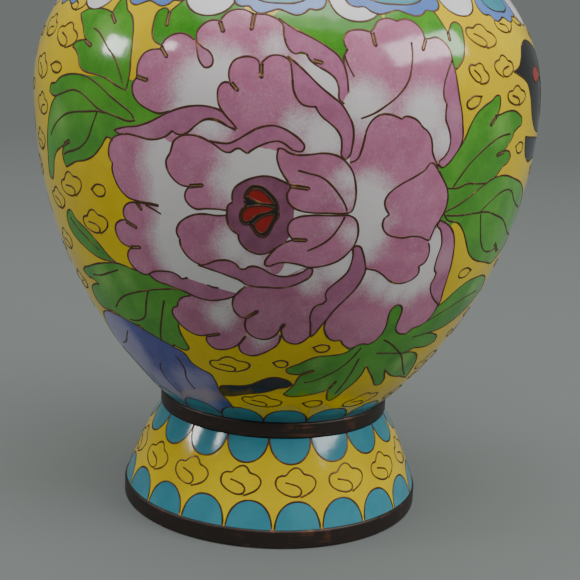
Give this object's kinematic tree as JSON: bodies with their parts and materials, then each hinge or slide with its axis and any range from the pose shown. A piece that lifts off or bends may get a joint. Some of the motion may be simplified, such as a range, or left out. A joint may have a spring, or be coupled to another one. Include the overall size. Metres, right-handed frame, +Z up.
{
  "type": "vase",
  "caption": "Cloisonne enamel baluster vase with a flared foot, collared shoulder, trumpet neck and copper rings at foot, waist, neck and lip.",
  "frame": {"origin": "on the vase's axis, at the face that the foot ring stands on", "axes": "+Z up along the axis, -Y towards the side with the large peony, +X to the right of someone facing that side"},
  "size_m": [0.0966, 0.0966, 0.153],
  "materials": {
    "copper": "dark oxidised copper, worn to red-brown on the edges",
    "wire": "flat copper wire ground flush with the enamel, darkened with age",
    "yellow_enamel": "opaque glass enamel, ground and polished, finely pitted",
    "turquoise_enamel": "opaque glass enamel, polished",
    "white_enamel": "opaque glass enamel, polished",
    "pink_enamel": "opaque glass enamel, pink shading to white",
    "red_enamel": "opaque glass enamel, polished",
    "green_enamel": "opaque glass enamel, light green shading to dark",
    "blue_enamel": "opaque glass enamel, lavender blue shading to white",
    "black_enamel": "opaque glass enamel, polished",
    "lining_enamel": "plain blue-green counter-enamel"
  },
  "bodies": {
    "root": {"foot_ring": "copper", "waist_ring": "copper", "base_plate": "copper", "neck_ring": "copper", "lip_ring": "copper", "foot_copper": "copper", "lower_body_copper": "copper", "upper_body_copper": "copper", "neck_copper": "copper", "floor_lining": "lining_enamel", "base_lining": "lining_enamel", "foot_lining": "lining_enamel", "body_lining": "lining_enamel", "neck_lining": "lining_enamel", "foot_lower_lappet_wires": "wire", "foot_upper_lappet_wires": "wire", "foot_cloud_wires": "wire", "body_lower_lappet_wires": "wire", "body_collar_petal_wires": "wire", "body_collar_lappet_wires": "wire", "body_peony_heart_wire": "wire", "body_peony_petal_wires": "wire", "body_rear_peony_heart_wire": "wire", "body_rear_peony_petal_wires": "wire", "body_leaf_wires": "wire", "body_rear_leaf_wires": "wire", "body_rock_wire": "wire", "body_branch_wire": "wire", "body_bird_wires": "wire", "body_cloud_wires": "wire", "neck_lower_lappet_wires": "wire", "neck_upper_lappet_wires": "wire", "neck_cloud_wires": "wire", "foot_ground": "yellow_enamel", "body_ground": "yellow_enamel", "neck_ground": "yellow_enamel", "foot_lower_lappets": "turquoise_enamel", "foot_upper_lappets": "turquoise_enamel", "body_lower_lappets": "turquoise_enamel", "body_collar_lappets": "turquoise_enamel", "neck_lower_lappets": "turquoise_enamel", "neck_upper_lappets": "turquoise_enamel", "body_collar_petals": "white_enamel", "body_peony_petals": "pink_enamel", "body_rear_peony_petals": "pink_enamel", "body_peony_heart": "red_enamel", "body_rear_peony_heart": "red_enamel", "body_leaves": "green_enamel", "body_rear_leaves": "green_enamel", "body_rock": "blue_enamel", "body_branch": "black_enamel", "body_bird": "black_enamel"}
  },
  "joints": []
}
